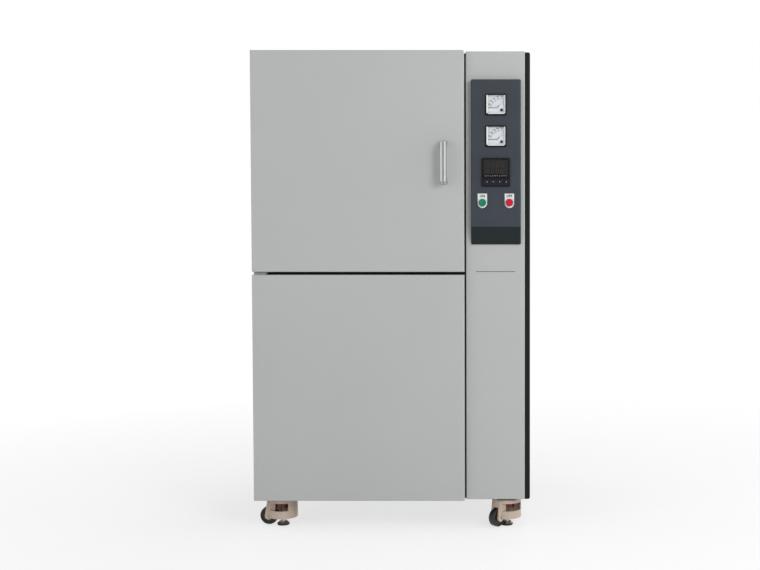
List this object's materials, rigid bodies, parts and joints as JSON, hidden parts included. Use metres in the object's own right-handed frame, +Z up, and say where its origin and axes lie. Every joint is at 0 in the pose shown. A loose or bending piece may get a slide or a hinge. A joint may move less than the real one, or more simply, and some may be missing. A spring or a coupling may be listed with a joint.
{
  "type": "sintering furnace",
  "caption": "Floor-standing high-temperature sintering furnace: a cabinet on levelling casters with a fibre-lined chamber behind a hinged upper door and a control column at its right.",
  "frame": {"origin": "on the floor, under the middle of the whole object's bounding box", "axes": "+Z up, +Y from the door to the rear, +X from the door's hinge side to the control column"},
  "size_m": [0.95, 0.905, 1.645],
  "materials": {
    "frame_paint": "matt dark grey paint on square tube",
    "dark_panel_paint": "fine textured dark grey powder coat",
    "light_panel_paint": "satin light grey powder coat",
    "zinc_sheet": "zinc plated",
    "stainless_sheet": "brushed, slightly straw-tinted near the mouth",
    "housing_moulding": "satin slate grey moulding",
    "instrument_black": "fine grained black",
    "dial_white": "satin white",
    "clear_window": "clear",
    "green_cap": "gloss",
    "red_cap": "gloss",
    "needle_black": "matt black paint",
    "fibre_board": "matt white ceramic fibre",
    "alumina": "fired white ceramic",
    "element_ceramic": "grey glazed heating rod",
    "terminal_metal": "bright clamps on white holders",
    "handle_plastic": "satin light grey",
    "core_steel": "varnished core and coil",
    "heatsink_aluminium": "natural aluminium",
    "switch_plastic": "satin grey",
    "caster_casting": "cream powder coat on a casting",
    "wheel_black": "black nylon",
    "adjuster_red": "dark red",
    "foot_rubber": "black rubber on a plated stem"
  },
  "bodies": {
    "cabinet": {"cabinet_frame": "frame_paint", "left_side_panel": "dark_panel_paint", "right_side_panel": "dark_panel_paint", "top_cover": "dark_panel_paint", "rear_covers": "dark_panel_paint", "bottom_tray": "zinc_sheet", "inner_partitions": "zinc_sheet", "lower_front_panel": "light_panel_paint", "control_column": "light_panel_paint", "control_housing": "housing_moulding", "panel_meters": "instrument_black", "meter_dials": "dial_white", "instrument_windows": "clear_window", "temperature_controller": "instrument_black", "legend_plates": "dial_white", "button_bodies": "instrument_black", "furnace_casing": "zinc_sheet", "furnace_front_plate": "stainless_sheet", "backup_insulation": "fibre_board", "chamber_lining": "fibre_board", "hearth_plate": "alumina", "heating_elements": "element_ceramic", "element_terminals": "terminal_metal", "thermocouple": "alumina", "door_magnets": "instrument_black", "hinge_brackets": "light_panel_paint", "transformer": "core_steel", "mounting_plate": "zinc_sheet", "power_regulator": "heatsink_aluminium", "switchgear": "switch_plastic", "fan_housing": "instrument_black", "cable_gland": "instrument_black", "caster_plates": "zinc_sheet"},
    "door": {"door_skin": "light_panel_paint", "door_liner": "stainless_sheet", "door_plug": "fibre_board", "door_gasket": "fibre_board", "door_handle": "handle_plastic", "hinge_leaves": "zinc_sheet"},
    "start_button": {"start_button": "green_cap"},
    "stop_button": {"stop_button": "red_cap"},
    "ammeter_needle": {"ammeter_needle": "needle_black"},
    "voltmeter_needle": {"voltmeter_needle": "needle_black"},
    "fan_rotor": {"fan_rotor": "instrument_black"},
    "front_left_fork": {"front_left_fork": "caster_casting"},
    "front_left_wheel": {"front_left_wheel": "wheel_black"},
    "front_left_adjuster": {"front_left_adjuster": "adjuster_red"},
    "front_left_foot": {"front_left_foot": "foot_rubber"},
    "front_right_fork": {"front_right_fork": "caster_casting"},
    "front_right_wheel": {"front_right_wheel": "wheel_black"},
    "front_right_adjuster": {"front_right_adjuster": "adjuster_red"},
    "front_right_foot": {"front_right_foot": "foot_rubber"},
    "rear_left_fork": {"rear_left_fork": "caster_casting"},
    "rear_left_wheel": {"rear_left_wheel": "wheel_black"},
    "rear_left_adjuster": {"rear_left_adjuster": "adjuster_red"},
    "rear_left_foot": {"rear_left_foot": "foot_rubber"},
    "rear_right_fork": {"rear_right_fork": "caster_casting"},
    "rear_right_wheel": {"rear_right_wheel": "wheel_black"},
    "rear_right_adjuster": {"rear_right_adjuster": "adjuster_red"},
    "rear_right_foot": {"rear_right_foot": "foot_rubber"}
  },
  "joints": [
    {"name": "door_hinge", "type": "hinge", "parent": "cabinet", "child": "door", "pos_m": [-0.465, -0.3745, 1.269], "axis": [0, 0, -1], "range_deg": [0, 110]},
    {"name": "start_button_press", "type": "slide", "parent": "cabinet", "child": "start_button", "axis": [0, 1, 0], "range_m": [0, 0.004], "stiffness_N_per_m": 600, "springref_m": -0.003},
    {"name": "stop_button_press", "type": "slide", "parent": "cabinet", "child": "stop_button", "axis": [0, 1, 0], "range_m": [0, 0.004], "stiffness_N_per_m": 600, "springref_m": -0.003},
    {"name": "ammeter_needle_swing", "type": "hinge", "parent": "cabinet", "child": "ammeter_needle", "pos_m": [0.3782, -0.4021, 1.4425], "axis": [0, 1, 0], "range_deg": [0, 80], "stiffness_Nm_per_rad": 0.0002, "springref_deg": -20.05},
    {"name": "voltmeter_needle_swing", "type": "hinge", "parent": "cabinet", "child": "voltmeter_needle", "pos_m": [0.3782, -0.4021, 1.3355], "axis": [0, 1, 0], "range_deg": [0, 80], "stiffness_Nm_per_rad": 0.0002, "springref_deg": -20.05},
    {"name": "fan_spin", "type": "hinge", "parent": "cabinet", "child": "fan_rotor", "pos_m": [0.21, 0.412, 0.365], "axis": [0, 1, 0], "continuous": true},
    {"name": "front_left_swivel", "type": "hinge", "parent": "cabinet", "child": "front_left_fork", "pos_m": [-0.394, -0.3155, 0.093], "axis": [0, 0, 1], "continuous": true},
    {"name": "front_left_roll", "type": "hinge", "parent": "front_left_fork", "child": "front_left_wheel", "pos_m": [-0.442, -0.3155, 0.0345], "axis": [0, 1, 0], "continuous": true},
    {"name": "front_left_adjuster_turn", "type": "hinge", "parent": "front_left_fork", "child": "front_left_adjuster", "pos_m": [-0.394, -0.3155, 0.064], "axis": [0, 0, 1], "range_deg": [-720, 1440]},
    {"name": "front_left_foot_travel", "type": "slide", "parent": "front_left_fork", "child": "front_left_foot", "axis": [0, 0, 1], "range_m": [-0.004, 0.008]},
    {"name": "front_right_swivel", "type": "hinge", "parent": "cabinet", "child": "front_right_fork", "pos_m": [0.394, -0.3155, 0.093], "axis": [0, 0, 1], "continuous": true},
    {"name": "front_right_roll", "type": "hinge", "parent": "front_right_fork", "child": "front_right_wheel", "pos_m": [0.36066, -0.35003, 0.0345], "axis": [-0.7193, 0.6947, 0], "continuous": true},
    {"name": "front_right_adjuster_turn", "type": "hinge", "parent": "front_right_fork", "child": "front_right_adjuster", "pos_m": [0.394, -0.3155, 0.064], "axis": [0, 0, 1], "range_deg": [-720, 1440]},
    {"name": "front_right_foot_travel", "type": "slide", "parent": "front_right_fork", "child": "front_right_foot", "axis": [0, 0, 1], "range_m": [-0.004, 0.008]},
    {"name": "rear_left_swivel", "type": "hinge", "parent": "cabinet", "child": "rear_left_fork", "pos_m": [-0.394, 0.3705, 0.093], "axis": [0, 0, 1], "continuous": true},
    {"name": "rear_left_roll", "type": "hinge", "parent": "rear_left_fork", "child": "rear_left_wheel", "pos_m": [-0.43183, 0.40005, 0.0345], "axis": [0.6157, 0.788, 0], "continuous": true},
    {"name": "rear_left_adjuster_turn", "type": "hinge", "parent": "rear_left_fork", "child": "rear_left_adjuster", "pos_m": [-0.394, 0.3705, 0.064], "axis": [0, 0, 1], "range_deg": [-720, 1440]},
    {"name": "rear_left_foot_travel", "type": "slide", "parent": "rear_left_fork", "child": "rear_left_foot", "axis": [0, 0, 1], "range_m": [-0.004, 0.008]},
    {"name": "rear_right_swivel", "type": "hinge", "parent": "cabinet", "child": "rear_right_fork", "pos_m": [0.394, 0.3705, 0.093], "axis": [0, 0, 1], "continuous": true},
    {"name": "rear_right_roll", "type": "hinge", "parent": "rear_right_fork", "child": "rear_right_wheel", "pos_m": [0.4375, 0.39079, 0.0345], "axis": [0.4226, -0.9063, 0], "continuous": true},
    {"name": "rear_right_adjuster_turn", "type": "hinge", "parent": "rear_right_fork", "child": "rear_right_adjuster", "pos_m": [0.394, 0.3705, 0.064], "axis": [0, 0, 1], "range_deg": [-720, 1440]},
    {"name": "rear_right_foot_travel", "type": "slide", "parent": "rear_right_fork", "child": "rear_right_foot", "axis": [0, 0, 1], "range_m": [-0.004, 0.008]}
  ],
  "couplings": [
    {"joint": "front_left_foot_travel", "follows": "front_left_adjuster_turn", "m_per_rad": 0.00031831},
    {"joint": "front_right_foot_travel", "follows": "front_right_adjuster_turn", "m_per_rad": 0.00031831},
    {"joint": "rear_left_foot_travel", "follows": "rear_left_adjuster_turn", "m_per_rad": 0.00031831},
    {"joint": "rear_right_foot_travel", "follows": "rear_right_adjuster_turn", "m_per_rad": 0.00031831}
  ]
}
